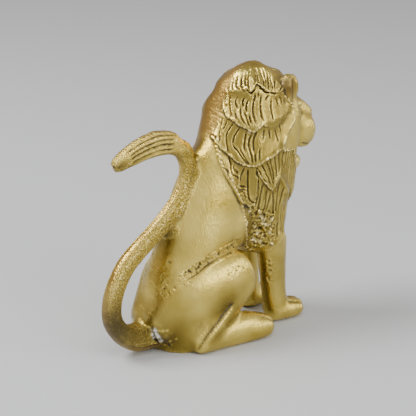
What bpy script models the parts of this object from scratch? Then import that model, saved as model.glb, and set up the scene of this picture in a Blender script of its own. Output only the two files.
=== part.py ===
"""A seated brass lion, cast in one piece, with its tail curled up its back.

The lion faces -Y and its right side is -X. It rests on Z = 0. Every place on it is given as
(forward, right, up) in hundredths of its height, counted from the ground under its rump, and PART
turns those shares into metres. A place on the mane may also be given as (turn, up): turn is in
degrees about the upright line through the mane, 0 at the chest, 90 at the side and 180 at the back.
"""
import math

import bmesh
import bpy
import numpy as np
from mathutils import Matrix, Vector
from mathutils.bvhtree import BVHTree

HEIGHT = 0.100  # soles to the crown of the mane
PART = HEIGHT / 100
GRAIN = 0.6 * PART  # size of the clay crumb that the masses are pressed together from
SOFTENING = 7  # strokes of the smoothing pad over the joined masses
FACES = 9600  # triangles kept on the finished casting
AROUND = 48  # corners of a section
STEPS = 5  # sections between two stations
CAP_RINGS = 4  # sections that round off an end

# Stations of a limb: forward, right, up, half its depth, half its width
TORSO = (
    (13, 0, 2, 11, 13),
    (14, 0, 9, 14, 14.6),
    (16, 0, 19, 15.8, 14.2),
    (20.4, 0, 32, 14.8, 13.4),
    (25.4, 0, 44, 15.1, 13.2),
    (31, 0, 56, 15, 12.5),
    (36.5, 0, 66, 14, 11.5),
    (41, 0, 74, 11, 10),
)
MANE = (
    (51, 0, 29.8, 5, 5),
    (50.5, 0, 32, 11, 10.5),
    (50, 0, 38, 13.8, 12.8),
    (49, 0, 47, 15.6, 14.4),
    (47.5, 0, 56, 17.5, 15.4),
    (46, 0, 66, 19, 16.2),
    (46, 0, 75, 18, 16.2),
    (47.2, 0, 82, 16, 15.3),
)
RUFF = (
    (55.5, 0, 93, 3.6, 4),
    (57, 6, 90.5, 3.4, 3.6),
    (57.5, 9.8, 84.5, 3.2, 3.4),
    (57.5, 11.2, 76, 3.2, 3.4),
    (56.6, 9.8, 66, 3.4, 3.8),
    (58, 6.8, 57.5, 4.2, 4.4),
    (60.2, 0, 51, 4.6, 5),
)
THIGH = (
    (4.4, 3, 11.2, 8.4, 8.2),
    (9.6, 5.2, 14.6, 11.6, 8.2),
    (17, 9.2, 19, 13.6, 8.6),
    (24.5, 11.4, 22.8, 12, 7.5),
    (33, 12.6, 26.6, 9.4, 6.2),
)
SHIN = (
    (33, 13, 23, 7, 5.4),
    (25, 13.6, 15, 5.5, 5),
    (17, 13.8, 8, 4.8, 4.8),
    (13.5, 13.8, 4.8, 4.2, 4.4),
)
FOOT = (
    (13.5, 13.8, 4.2, 4.6, 4.4),
    (22, 14.2, 4.6, 5.4, 4.8),
    (31, 15, 5.2, 6.4, 5.2),
    (38, 15.8, 4.4, 5.4, 5.4),
    (41.5, 16.2, 3.8, 4.4, 5),
)
FORELEG = (
    (48.7, 8.6, 44, 7.8, 6),
    (51, 8.2, 34, 6.5, 5.3),
    (52.3, 7.9, 22, 5.4, 4.7),
    (53.1, 7.9, 12, 4.9, 4.4),
    (54, 8, 5, 5.2, 4.7),
)
PAW = (
    (53, 8, 3.8, 4.2, 4.8),
    (58.6, 8.4, 3.8, 4.4, 5.3),
    (63, 8.9, 3.2, 3.7, 4.9),
)
TAIL = (
    (7, 0, 8, 7, 6.4),
    (1, 0, 7, 6.6, 5.8),
    (-5, 0, 6.6, 5.6, 4.8),
    (-11, 0, 9.2, 4, 4.1),
    (-15, 0, 15.4, 3.6, 3.7),
    (-15.1, 0, 22.4, 3.5, 3.6),
    (-12.8, 0, 29, 3.5, 3.5),
    (-9, 0, 34.8, 3.5, 3.5),
    (-3.6, 0, 39.4, 3.4, 3.5),
    (4.1, 0, 44.8, 3.3, 3.5),
    (11.2, 0, 50.8, 3.3, 3.4),
    (15.8, 0, 56, 3.3, 3.3),
    (18.3, 0, 61.5, 3.2, 3.2),
    (18.6, 0, 67, 3.2, 3.1),
)
TUFT = (
    (18.6, 0, 67, 3.2, 3.1),
    (17, 0, 71.6, 3.2, 3.2),
    (13.6, 0, 74.9, 3.7, 3.6),
    (8.5, 0, 76.6, 4.3, 4.1),
    (2.5, 0, 76.8, 4.3, 4.1),
    (-4.7, 0, 75, 3.7, 3.5),
    (-9.4, 0, 72.9, 2.6, 2.6),
)
MUZZLE = (
    (58, 0, 75, 9, 8.5),
    (66, 0, 73, 8.6, 7.2),
    (70, 0, 71.5, 7.4, 5.6),
)
BRIDGE = (
    (60, 0, 86, 5, 6),
    (66, 0, 82.5, 4.2, 4.4),
    (71.5, 0, 79, 3.6, 3.4),
    (74.5, 0, 76.4, 2.8, 3.2),
)
JAW = (
    (56, 0, 61, 5, 8),
    (63, 0, 59.5, 4, 5.2),
    (68.4, 0, 57.8, 2.9, 3.2),
)
# Rounded masses: forward, right, up, then half the depth, width and height
SKULL = (55, 0, 80, 11.5, 11, 11)
CROWN = (47.8, 0, 84, 15.6, 14.2, 15.8)
RIBS = (33, 0, 44, 15, 12.8, 13.4)
BROW = (63, 5.2, 83.4, 4, 4.6, 2.8)
EYE = (65, 5.4, 79.6, 2.2, 2.4, 1.8)
FLEW = (69.6, 3.4, 71.2, 6, 4.2, 6.8)
CHEEK = (55.5, 6.8, 75, 6.5, 8.2, 12.5)
EAR = (56.4, 10.8, 91.2, 4.2, 3.4, 6.6)

# Curves seen from the side: forward, up
HEM = (
    (18, 80), (27, 77.5), (27, 73), (26.3, 68.2), (27.9, 62.6), (31.4, 55.5), (34.4, 49), (35.6, 41.5),
    (38.5, 35.5), (41.5, 31), (46, 30.2), (50.5, 33), (54, 35.5), (58, 33), (62, 28), (72, 26),
)
CREASE = ((35, 37), (27.6, 36.6), (21.3, 35.9), (16.7, 34), (12.6, 31.8), (9.1, 29.5))
SHIN_LINE = ((25.6, 18.2), (21.7, 15.3), (17.2, 11.4), (12.9, 7.4), (10.5, 3))
# The edge of the face and ear against the mane: turn, up
FRAME = (
    (0, 95), (25, 95.5), (40, 98), (52, 99.5), (60, 97), (61, 93.4), (62, 89.3), (57, 84.9), (59, 79.7),
    (65, 78), (73, 75.5), (80, 73.2), (79, 70.5), (66, 69.8), (57, 69), (50, 65.5), (38, 60), (22, 55.5),
    (0, 53),
)
DEGREE = 0.26  # how far round the mane a turn of one degree is
# Lower edges of the mane's layers of locks, top layer first: turn, up
LAYERS = (
    ((180, 91), (162, 92), (131, 91.5), (117, 93.7), (103, 92), (77, 90.2), (50, 93), (0, 97)),
    ((180, 88), (164, 86.5), (156, 83.8), (142, 81.4), (126, 78.9), (115, 80.8), (104, 80), (91, 81.2),
     (63, 83.5), (54, 86), (0, 96)),
    ((180, 78), (168, 74.4), (153, 70.7), (140, 68.9), (121, 66.4), (104, 68.7), (89, 71), (79, 74),
     (64, 78.1), (58, 80), (50, 86), (0, 95)),
    ((180, 77), (168, 70), (150, 62), (140, 53), (131, 50), (124, 54), (118, 62), (105, 58), (98, 56),
     (91, 58), (84, 60.2), (76, 54), (66, 48.5), (54, 54), (42, 47), (26, 52), (12, 44), (0, 50)),
)
# Fans of cuts on the mane: (turn, up) of the first and last start, the same of the ends, how many, bow
FANS = (
    ((166, 97), (122, 99), (170, 92.5), (126, 92.6), 5, 5),
    ((108, 99), (66, 97), (113, 94.4), (70, 91.5), 4, -2),
    ((168, 90.5), (110, 91.5), (158, 85.5), (117, 81.5), 6, 7),
    ((100, 90.5), (70, 89.5), (104, 81.5), (80, 82.5), 3, -4),
    ((174, 86), (118, 80), (160, 73.5), (124, 67.6), 6, 6),
    ((108, 79.5), (80, 81.5), (117, 67.6), (98, 70), 3, -5),
    ((160, 71), (132, 67), (142, 55), (134, 51), 4, 3),
    ((124, 65), (92, 69), (116, 63), (99, 57), 4, 0),
    ((84, 69), (52, 62), (82, 60), (60, 51), 4, 2),
    ((138, 48), (64, 50), (126, 35), (66, 37), 7, 3),
    ((50, 53), (4, 51), (46, 33), (4, 31), 6, -3),
    ((30, 98.4), (6, 98.8), (30, 95.6), (6, 95.2), 3, 0),
)
# Cuts between the toes of the hind foot and the paw: both ends as (forward, up), and each cut's right
TOE_FANS = (
    ((36.5, 9.5), (44.5, 2.6), (13.4, 15.9, 18.5)),
    ((58.5, 8), (66.5, 2), (6.2, 8.7, 11.2)),
)
# Other cuts: forward, right, up
EAR_CUT = ((57.2, 14, 97), (57.2, 14.4, 94), (57.4, 14.2, 90.5), (57.8, 13.8, 86))
NOSTRIL = ((75.5, 3.4, 77.6), (76.5, 2.2, 76.4))
LIP = ((68, 7.4, 67.5), (72, 6.6, 66), (75.5, 4.4, 66.4), (77, 1.4, 68.5))
TUFT_CUTS = (70, 35, 2, -30)  # degrees up from level, round the tuft

MANE_LINE = 47.5  # how far forward the upright line through the mane stands
HEM_STEP = 0.9  # how far the mane's hem stands off the body
FRAME_STEP = 0.6  # how far the mane's edge stands off the face
EDGE_ROLL = 1.8  # how far in from its edge the mane sinks back to its own level
LAYER_STEP = 1.5  # how far a layer of locks stands off the next at its lower edge
LAYER_SINK = 0.5  # how far the top of a layer lies under the mane's own level
BARE_BACK = (3, 14)  # turns either side of the back's line between which the layers die away
CUT_DEPTH = 1.3
CUT_WIDTH = 0.82  # half the width of a cut
SPARING = 0.00003  # how strongly the carved mane is spared when the skin is thinned

BRASS = (0.62, 0.47, 0.19, 1)
BRASS_ROUGHNESS = 0.3


def place(forward, right, up):
    """A point of the lion, in metres."""
    return Vector((-right, -forward, up)) * PART


def smooth_run(stations, steps):
    """The stations with steps smooth in-betweens after each, on a Catmull-Rom curve through them all."""
    ends = [stations[0], *stations, stations[-1]]
    run = []
    for a, b, c, d in zip(ends, ends[1:], ends[2:], ends[3:]):
        for step in range(steps):
            t = step / steps
            run.append([
                0.5 * (2 * q + (r - p) * t + (2 * p - 5 * q + 4 * r - s) * t**2 + (3 * q - p - 3 * r + s) * t**3)
                for p, q, r, s in zip(a, b, c, d)
            ])
    run.append(list(stations[-1]))
    return run


def add_ring(bm, centre, along, depth, width):
    """An oval of corners square to along, its width sideways. Returns its edges."""
    side = Vector((1, 0, 0))
    side = (side - along * side.dot(along)).normalized()
    over = along.cross(side)
    frame = Matrix((side * width, over * depth, along)).transposed().to_4x4()
    frame.translation = centre
    made = bmesh.ops.create_circle(bm, segments=AROUND, radius=1, matrix=frame)
    return list({edge for corner in made["verts"] for edge in corner.link_edges})


def add_limb(bm, stations, mirror=1):
    """A closed tube through the stations with rounded ends. A mirror of -1 puts it on the left."""
    run = smooth_run(stations, STEPS)
    centres = [place(f, mirror * r, u) for f, r, u, _, _ in run]
    last = len(run) - 1
    alongs = [(centres[min(i + 1, last)] - centres[max(i - 1, 0)]).normalized() for i in range(last + 1)]
    sections = [(centres[i], alongs[i], run[i][3] * PART, run[i][4] * PART) for i in range(last + 1)]
    for end, outward in ((0, -1), (last, 1)):
        centre, along, depth, width = sections[end if outward < 0 else -1]
        reach = 0.8 * min(depth, width)
        for ring in range(1, CAP_RINGS + 1):
            turn = math.radians(84) * ring / CAP_RINGS
            rounded = (centre + along * (outward * reach * math.sin(turn)), along,
                       depth * math.cos(turn), width * math.cos(turn))
            sections.insert(0 if outward < 0 else len(sections), rounded)
    rings = [add_ring(bm, *section) for section in sections]
    for lower, upper in zip(rings, rings[1:]):
        bmesh.ops.bridge_loops(bm, edges=lower + upper)
    for ring in (rings[0], rings[-1]):
        bmesh.ops.contextual_create(bm, geom=ring)


def add_mass(bm, mass, mirror=1):
    """A rounded mass, squashed to its three half sizes."""
    forward, right, up, depth, width, height = mass
    size = Matrix.Diagonal((width * PART, depth * PART, height * PART, 1))
    where = Matrix.Translation(place(forward, mirror * right, up))
    bmesh.ops.create_icosphere(bm, subdivisions=4, radius=1, matrix=where @ size)


def body_masses():
    """The masses of the body, limbs, mane and head, still overlapping."""
    bm = bmesh.new()
    for stations in (TORSO, MANE, MUZZLE, BRIDGE, JAW, TAIL, TUFT):
        add_limb(bm, stations)
    for mass in (SKULL, CROWN, RIBS):
        add_mass(bm, mass)
    for side in (1, -1):
        for stations in (THIGH, SHIN, FOOT, FORELEG, PAW, RUFF):
            add_limb(bm, stations, side)
        for mass in (BROW, EYE, FLEW, CHEEK, EAR):
            add_mass(bm, mass, side)
    bmesh.ops.recalc_face_normals(bm, faces=bm.faces)
    return bm


def object_of(bm, name):
    """The bmesh as a linked object. The bmesh is freed."""
    mesh = bpy.data.meshes.new(name)
    bm.to_mesh(mesh)
    bm.free()
    made = bpy.data.objects.new(name, mesh)
    bpy.context.scene.collection.objects.link(made)
    return made


def baked(made):
    """What the object's modifiers make of it, as a bmesh, with the object removed."""
    graph = bpy.context.evaluated_depsgraph_get()
    bm = bmesh.new()
    bm.from_object(made, graph)
    bpy.data.objects.remove(made)
    return bm


def pressed_together(bm):
    """The closed shapes in bm as one skin: a voxel remesh joins them and a smoothing pad softens the joins."""
    clay = object_of(bm, "clay")
    join = clay.modifiers.new("join", "REMESH")
    join.mode = "VOXEL"
    join.voxel_size = GRAIN
    pad = clay.modifiers.new("pad", "SMOOTH")
    pad.factor = 0.5
    pad.iterations = SOFTENING
    return baked(clay)


def thinned(bm, faces):
    """The same skin in about so many triangles, more of them on the carved mane than elsewhere."""
    bmesh.ops.triangulate(bm, faces=bm.faces)
    share = faces / len(bm.faces)
    carved_share = mane_mask(spots_of(bm))
    rough = object_of(bm, "rough")
    smooth = rough.vertex_groups.new(name="smooth")
    for corner, carved in enumerate(carved_share):
        smooth.add([corner], 1 - 0.5 * carved, "REPLACE")
    fewer = rough.modifiers.new("fewer", "DECIMATE")
    fewer.ratio = share
    fewer.vertex_group = "smooth"
    fewer.vertex_group_factor = SPARING
    return baked(rough)


def spots_of(bm):
    """Where every corner of the skin is, as rows of forward, right, up, with the left side folded over."""
    spots = np.array([(-v.co.y, abs(v.co.x), v.co.z) for v in bm.verts])
    return spots / PART


def sink(bm, depths):
    """Presses every corner of the skin in by its own depth. A depth below 0 raises it."""
    bm.normal_update()
    for corner, depth in zip(bm.verts, depths):
        corner.co -= corner.normal * (depth * PART)


def nearest(path, spots):
    """For every spot: its distance to the path, and how far along the path its nearest point is, 0 to 1."""
    path = np.array(path, float)
    gap = np.full(len(spots), np.inf)
    share = np.zeros(len(spots))
    pieces = len(path) - 1
    for i in range(pieces):
        run = path[i + 1] - path[i]
        t = np.clip((spots - path[i]) @ run / max(run @ run, 1e-9), 0, 1)
        away = np.linalg.norm(spots - path[i] - t[:, None] * run, axis=1)
        closer = away < gap
        gap[closer] = away[closer]
        share[closer] = (i + t[closer]) / pieces
    return gap, share


def inside(outline, flat):
    """How far each flat point is on the left-hand side of a curve, below 0 on the other side."""
    outline = np.array(outline, float)
    gap = np.full(len(flat), np.inf)
    side = np.zeros(len(flat))
    for start, end in zip(outline, outline[1:]):
        run = end - start
        off = flat - start
        t = np.clip(off @ run / max(run @ run, 1e-9), 0, 1)
        away = np.linalg.norm(off - t[:, None] * run, axis=1)
        closer = away < gap - 1e-9
        gap[closer] = away[closer]
        side[closer] = np.sign(run[0] * off[:, 1] - run[1] * off[:, 0])[closer]
    return gap * side


def ramp(values, start, end):
    """0 up to start, 1 from end on, and a soft rise between."""
    t = np.clip((values - start) / (end - start), 0, 1)
    return t * t * (3 - 2 * t)


def cut(path, spots, width, depth):
    """How deep a graver that follows the path goes at every spot. It fades out at both ends."""
    gap, share = nearest(path, spots)
    return depth * np.exp(-((gap / width) ** 2)) * ramp(np.minimum(share, 1 - share), -0.05, 0.2)


def off_body(spots):
    """How far each spot is from the hem, above 0 on the mane's side of it."""
    return inside(smooth_run(HEM, STEPS), spots[:, [0, 2]])


def off_face(spots):
    """How far each spot is from the face's edge, above 0 on the mane's side of it."""
    frame = [(turn * DEGREE, up) for turn, up in smooth_run(FRAME, STEPS)]
    return inside(frame, np.stack([turns_of(spots) * DEGREE, spots[:, 2]], axis=1))


def mane_mask(spots):
    """1 on the mane and 0 on the body and face."""
    return ramp(off_body(spots), -0.5, 0.5) * ramp(off_face(spots), -0.5, 0.5)


def turns_of(spots):
    """The mane's turn of every spot, in degrees."""
    return np.degrees(np.arctan2(spots[:, 1], spots[:, 0] - MANE_LINE))


def layer_rise(spots):
    """How far the layers of locks stand up at every spot: each swells towards its lower edge."""
    turns = turns_of(spots)
    up = spots[:, 2]
    upper = np.full(len(spots), 101.0)
    rise = np.zeros(len(spots))
    for edge in LAYERS:
        lower = np.interp(turns, *zip(*reversed(edge)))
        down = np.clip((upper - up) / np.maximum(upper - lower, 1), 0, 1)
        within = (up < upper) & (up >= lower)
        rise = np.where(within, down**1.5 * ramp(up - lower, 0, 0.7), rise)
        upper = lower
    return rise * LAYER_STEP * ramp(180 - turns, *BARE_BACK)


def on_mane(tree, turn, up):
    """The point of the skin straight out from the mane's line, or None where there is none."""
    angle = math.radians(turn)
    outward = Vector((-math.sin(angle), -math.cos(angle), 0))
    hit = tree.ray_cast(place(MANE_LINE, 0, up), outward)[0]
    return None if hit is None else (-hit.y / PART, -hit.x / PART, hit.z / PART)


def fan_paths(tree, fan):
    """The cuts of one fan, each as points on the skin."""
    first_start, last_start, first_end, last_end, count, bow = fan
    for i in range(count):
        across = i / max(count - 1, 1)
        start = [a + (b - a) * across for a, b in zip(first_start, last_start)]
        end = [a + (b - a) * across for a, b in zip(first_end, last_end)]
        path = []
        for step in range(7):
            t = step / 6
            turn = start[0] + (end[0] - start[0]) * t + bow * math.sin(math.pi * t)
            hit = on_mane(tree, turn, start[1] + (end[1] - start[1]) * t)
            if hit:
                path.append(hit)
        if len(path) > 2:
            yield path


def carve_mane(bm):
    """The mane's raised hem, its layers of locks and the cuts between the hairs."""
    spots = spots_of(bm)
    mane = mane_mask(spots)
    hem = HEM_STEP * np.exp(-np.abs(off_body(spots)) / EDGE_ROLL)
    frame = FRAME_STEP * np.exp(-np.abs(off_face(spots)) / EDGE_ROLL)
    sink(bm, -mane * (hem + frame + layer_rise(spots) - LAYER_SINK))
    tree = BVHTree.FromBMesh(bm)
    spots = spots_of(bm)
    depths = np.zeros(len(spots))
    near = mane > 0.05
    for fan in FANS:
        for path in fan_paths(tree, fan):
            depths[near] = np.maximum(depths[near], cut(path, spots[near], CUT_WIDTH, CUT_DEPTH))
    sink(bm, depths * mane)


def tuft_path(turn):
    """A line along the tuft's skin at so many degrees up from level."""
    run = np.array(smooth_run(TUFT[1:], STEPS))
    along = np.gradient(run[:, [0, 2]], axis=0)
    along /= np.linalg.norm(along, axis=1)[:, None]
    over = np.stack([along[:, 1], -along[:, 0]], axis=1)
    angle = math.radians(turn)
    return np.stack([
        run[:, 0] + over[:, 0] * run[:, 3] * math.sin(angle),
        run[:, 4] * math.cos(angle),
        run[:, 2] + over[:, 1] * run[:, 3] * math.sin(angle),
    ], axis=1)


def carve_body(bm):
    """Toes, the folds at the thigh and shin, ears, nostrils, lips and the hair of the tuft."""
    spots = spots_of(bm)
    depths = np.zeros(len(spots))
    outer = ramp(spots[:, 1], 6, 9)
    for line, width, depth in ((CREASE, 1, 1.3), (SHIN_LINE, 0.8, 1)):
        depths += outer * cut(smooth_run(line, STEPS), spots[:, [0, 2]], width, depth)
    for start, end, rights in TOE_FANS:
        for right in rights:
            ends = [(f, right, u) for f, u in (start, end)]
            depths += cut(ends, spots, 0.8, 1.2)
    for line, width, depth in ((EAR_CUT, 1.5, 2), (NOSTRIL, 0.8, 0.7), (smooth_run(LIP, STEPS), 0.7, 0.6)):
        depths += cut(line, spots, width, depth)
    for turn in TUFT_CUTS:
        depths += cut(tuft_path(turn), spots, 0.7, 0.8)
    sink(bm, depths)


def cut_soles(bm):
    """Cuts the skin off flat at the ground and closes the soles."""
    geometry = bm.verts[:] + bm.edges[:] + bm.faces[:]
    bmesh.ops.bisect_plane(bm, geom=geometry, plane_co=(0, 0, 0), plane_no=(0, 0, -1), clear_outer=True)
    rims = [edge for edge in bm.edges if edge.is_boundary]
    bmesh.ops.holes_fill(bm, edges=rims)
    bmesh.ops.triangulate(bm, faces=[face for face in bm.faces if len(face.verts) > 3])


def centre_over_origin(bm):
    """Moves the skin so that the middle of its box stands over the origin."""
    ahead = [corner.co.y for corner in bm.verts]
    bmesh.ops.translate(bm, verts=bm.verts, vec=(0, -(min(ahead) + max(ahead)) / 2, 0))


def brass():
    """Satin cast brass."""
    material = bpy.data.materials.new("brass")
    material.use_nodes = True
    shader = material.node_tree.nodes["Principled BSDF"]
    shader.inputs["Base Color"].default_value = BRASS
    shader.inputs["Metallic"].default_value = 1
    shader.inputs["Roughness"].default_value = BRASS_ROUGHNESS
    return material


def main():
    for old in list(bpy.data.objects):
        bpy.data.objects.remove(old)
    bm = pressed_together(body_masses())
    carve_mane(bm)
    carve_body(bm)
    bm = thinned(bm, FACES)
    cut_soles(bm)
    centre_over_origin(bm)
    lion = object_of(bm, "lion")
    lion.data.materials.append(brass())
    lion.data.shade_smooth()


main()
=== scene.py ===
# %% [markdown]
# # A seated brass lion
#
# The real figure is about 100 mm high. It was cast in one piece in a sand mould, then a worker filed
# the flanks smooth and cut the hair of the mane with a graver. The tail kept its sandy skin.
#
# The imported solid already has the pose, the outline and the big locks of hair. This lesson gives a
# copy of it a finer skin and repeats the worker's steps on that: the locks and cuts of the mane, the
# marks on head, body, tail and paws, and last the colour of the brass.

# %% The fixed frame
import math
import random

import bmesh
import bpy
import numpy as np
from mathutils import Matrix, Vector
from mathutils.bvhtree import BVHTree


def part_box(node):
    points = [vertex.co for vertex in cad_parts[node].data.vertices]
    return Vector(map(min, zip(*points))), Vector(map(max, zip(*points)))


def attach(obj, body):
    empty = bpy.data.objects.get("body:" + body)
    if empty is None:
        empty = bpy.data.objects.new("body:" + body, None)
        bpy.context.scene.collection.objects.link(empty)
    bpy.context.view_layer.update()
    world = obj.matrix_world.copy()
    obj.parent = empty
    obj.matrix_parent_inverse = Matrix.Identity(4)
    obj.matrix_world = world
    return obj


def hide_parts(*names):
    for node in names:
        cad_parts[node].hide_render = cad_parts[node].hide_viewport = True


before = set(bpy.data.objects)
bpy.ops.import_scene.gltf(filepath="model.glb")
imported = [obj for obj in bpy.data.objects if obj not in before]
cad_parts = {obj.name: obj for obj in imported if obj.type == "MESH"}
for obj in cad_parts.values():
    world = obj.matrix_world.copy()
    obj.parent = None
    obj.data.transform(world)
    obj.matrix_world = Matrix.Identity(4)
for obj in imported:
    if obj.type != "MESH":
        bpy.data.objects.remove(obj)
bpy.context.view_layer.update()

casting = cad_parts["lion"]
print("the casting has", len(casting.data.polygons), "faces")

# %% [markdown]
# ## Places on the lion
#
# A place on the lion is (forward, right, up) in hundredths of its height, counted from the ground
# under its rump. A place on the mane may also be (turn, up): the turn is in degrees about an upright
# line through the mane, 0 at the chest, 90 at the side and 180 at the back. The left side is folded
# onto the right, so that one table of places serves both.

# %% From the lion's own places to the scene and back
PART = 0.001  # one hundredth of the lion's height
TAIL_REACH = 0.01858  # how far the tail reaches behind the rump's origin
MANE_LINE = 47.5  # how far forward the upright line through the mane stands
RUMP_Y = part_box("lion")[1].y - TAIL_REACH
FORWARD, RIGHT, UP = range(3)  # the columns of a table of places
SIDE_VIEW = [FORWARD, UP]  # the columns that are seen from the side


def place(forward, right, up):
    """A point of the lion, in metres."""
    return Vector((-right * PART, RUMP_Y - forward * PART, up * PART))


def spots_of(bm):
    """Where every corner of the skin is, as rows of forward, right, up. Right is below 0 on the left."""
    corners = np.array([tuple(corner.co) for corner in bm.verts])
    return np.stack([RUMP_Y - corners[:, 1], -corners[:, 0], corners[:, 2]], axis=1) / PART


def folded(spots):
    """The same places with the left side laid over the right."""
    return np.abs(spots * (0, 1, 0)) + spots * (1, 0, 1)


def turns_of(spots):
    """How far round the mane each spot is, in degrees, the same on both sides."""
    return np.degrees(np.arctan2(np.abs(spots[:, RIGHT]), spots[:, FORWARD] - MANE_LINE))


print("the rump's origin is at y =", round(RUMP_Y * 1000, 2), "mm")

# %% [markdown]
# ## Measures that every groove needs
#
# A groove is a line and a profile. To press it in, the script needs each corner's distance to the
# line, the side of it, and soft shares made from such distances, for all the corners in one go.

# %% Distances, sides and soft shares
TINY = 1e-9  # the shortest run that is divided by


def nearest(path, spots):
    """Each spot's distance to the path, how far along it the nearest point is, and the path's length."""
    path = np.array(path, float)
    gap = np.full(len(spots), np.inf)
    along = np.zeros(len(spots))
    walked = 0.0
    for start, end in zip(path, path[1:]):
        run = end - start
        length = max(float(np.linalg.norm(run)), TINY)
        t = np.clip((spots - start) @ run / length**2, 0, 1)
        away = np.linalg.norm(spots - start - t[:, None] * run, axis=1)
        closer = away < gap
        gap[closer] = away[closer]
        along[closer] = walked + t[closer] * length
        walked += length
    return gap, along, walked


def inside(outline, flat):
    """How far each flat point is on the left-hand side of a curve, below 0 on the other side."""
    outline = np.array(outline, float)
    gap = np.full(len(flat), np.inf)
    side = np.zeros(len(flat))
    for start, end in zip(outline, outline[1:]):
        run = end - start
        off = flat - start
        t = np.clip(off @ run / max(run @ run, TINY), 0, 1)
        away = np.linalg.norm(off - t[:, None] * run, axis=1)
        closer = away < gap - TINY
        gap[closer] = away[closer]
        side[closer] = np.sign(run[0] * off[:, 1] - run[1] * off[:, 0])[closer]
    return gap * side


def ramp(values, start, end):
    """0 up to start, 1 from end on, and a soft rise between."""
    t = np.clip((values - start) / (end - start), 0, 1)
    return t * t * (3 - 2 * t)


def bell(values, width):
    """1 where a value is 0, and a soft fall to 0 on both sides."""
    return np.exp(-((values / width) ** 2))


def smooth_run(stations, steps=5):
    """The stations with smooth in-betweens, on a Catmull-Rom curve through them all."""
    ends = [stations[0], *stations, stations[-1]]
    run = []
    for a, b, c, d in zip(ends, ends[1:], ends[2:], ends[3:]):
        for t in np.arange(steps) / steps:
            weights = (-t**3 + 2 * t**2 - t, 3 * t**3 - 5 * t**2 + 2, -3 * t**3 + 4 * t**2 + t, t**3 - t**2)
            run.append([sum(w * v for w, v in zip(weights, values)) / 2 for values in zip(a, b, c, d)])
    run.append(list(stations[-1]))
    return run


print("a smooth run through 3 stations has", len(smooth_run([(0, 0), (1, 2), (3, 3)])), "points")

# %% [markdown]
# ## A finer skin
#
# The casting's mesh is made of loose triangles about 2 mm wide, too coarse for a graver's cut of
# 0.8 mm. A copy is merged, and a voxel remesh lays an even net of small squares over it. The net is
# then evened out: each corner moves towards its neighbours and a little back again, which removes
# facets and keeps the size. The carving of the mane is smoothed right out, as it is cut again below.

# %% Merge, remesh and even out
NET = 0.0009  # width of a square of the skin
MERGED = 1e-6  # corners closer than this become one
EASED = 0.5  # how much of the way to its neighbours a corner goes in a pass
BACK = 0.52  # how much it goes back where the form must keep its size


def object_of(bm, name):
    """The bmesh as a linked object. The bmesh is freed."""
    mesh = bpy.data.meshes.new(name)
    bm.to_mesh(mesh)
    bm.free()
    made = bpy.data.objects.new(name, mesh)
    bpy.context.scene.collection.objects.link(made)
    return made


def merged_copy(source):
    """A copy of the source's mesh with its loose triangles joined, as a bmesh."""
    bm = bmesh.new()
    bm.from_mesh(source.data)
    bmesh.ops.remove_doubles(bm, verts=bm.verts, dist=MERGED)
    return bm


def changed(bm, kind, **settings):
    """What a modifier makes of the bmesh, as a new one. The old one is freed."""
    rough = object_of(bm, "rough")
    modifier = rough.modifiers.new("change", kind)
    for name, value in settings.items():
        setattr(modifier, name, value)
    bm = bmesh.new()
    bm.from_object(rough, bpy.context.evaluated_depsgraph_get())
    bpy.data.objects.remove(rough)
    bm.verts.index_update()
    return bm


def net_of(bm):
    """The net's corners, the two ends of every edge, and how many edges meet at every corner."""
    corners = np.array([tuple(corner.co) for corner in bm.verts])
    ends = np.array([[end.index for end in edge.verts] for edge in bm.edges])
    meeting = np.maximum(np.bincount(ends.ravel(), minlength=len(corners)), 1)
    return corners, ends, meeting


def mean_neighbour(corners, ends, meeting):
    """The middle of every corner's neighbours."""
    around = np.zeros_like(corners)
    np.add.at(around, ends[:, 0], corners[ends[:, 1]])
    np.add.at(around, ends[:, 1], corners[ends[:, 0]])
    return around / meeting[:, None]


def pulled(bm, passes, share, back=0.0):
    """Eases every corner towards its neighbours by half its share in each pass, and back again."""
    corners, ends, meeting = net_of(bm)
    for _ in range(passes):
        for strength in (EASED, -back):
            if strength:
                away = mean_neighbour(corners, ends, meeting) - corners
                corners += away * (share * strength)[:, None]
    for corner, spot in zip(bm.verts, corners):
        corner.co = spot


def refined(bm, wanted):
    """Splits every square whose corners are all wanted into four."""
    edges = [edge for edge in bm.edges if all(wanted[end.index] for end in edge.verts)]
    bmesh.ops.subdivide_edges(bm, edges=edges, cuts=1, use_grid_fill=True)
    bmesh.ops.triangulate(bm, faces=[face for face in bm.faces if len(face.verts) > 4])
    bm.verts.index_update()


skin = changed(merged_copy(casting), "REMESH", mode="VOXEL", voxel_size=NET)
pulled(skin, 30, ramp(spots_of(skin)[:, UP], 0.4, 3), BACK)
print("the net has", len(skin.faces), "squares")

# %% [markdown]
# ## Where the mane is
#
# The mane ends at a hem on the neck and flanks, seen best from the side, and at a frame round the
# face and ears, seen best as turn and height. Both are curves, and a corner is on the mane when it is
# on the mane's side of both. The net is made finer on the mane, the head, the tuft, the root of the
# tail and the fold of the haunch, where the carving is.

# %% The hem, the frame and the mane between them
HEM = (
    (18, 80), (27, 77.5), (27, 73), (26.3, 68.2), (27.9, 62.6), (31.4, 55.5), (34.4, 49), (35.6, 41.5),
    (38.5, 35.5), (41.5, 31), (46, 30.2), (50.5, 33), (54, 35.5), (58, 33), (62, 28), (72, 26),
)
FRAME = (
    (0, 95), (25, 95.3), (40, 96.4), (54, 97.4), (66, 97), (71, 95.2), (71, 93), (66.5, 90.4), (61, 87.6),
    (55.5, 84.6), (59, 79.7), (65, 78), (73, 75.5), (80, 73.2), (79, 70.5), (66, 69.8), (57, 69), (50, 65.5),
    (38, 60), (22, 55.5), (0, 53),
)
DEGREE = 0.26  # how far round the mane a turn of one degree is
NEAR_MANE = 1.5  # how far past its edges the mane is eased and made finer
HAUNCH_FOLD = (20, 0.5, 4.5)  # the fold's height at forward 0, its climb, and the reach beside it


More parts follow.
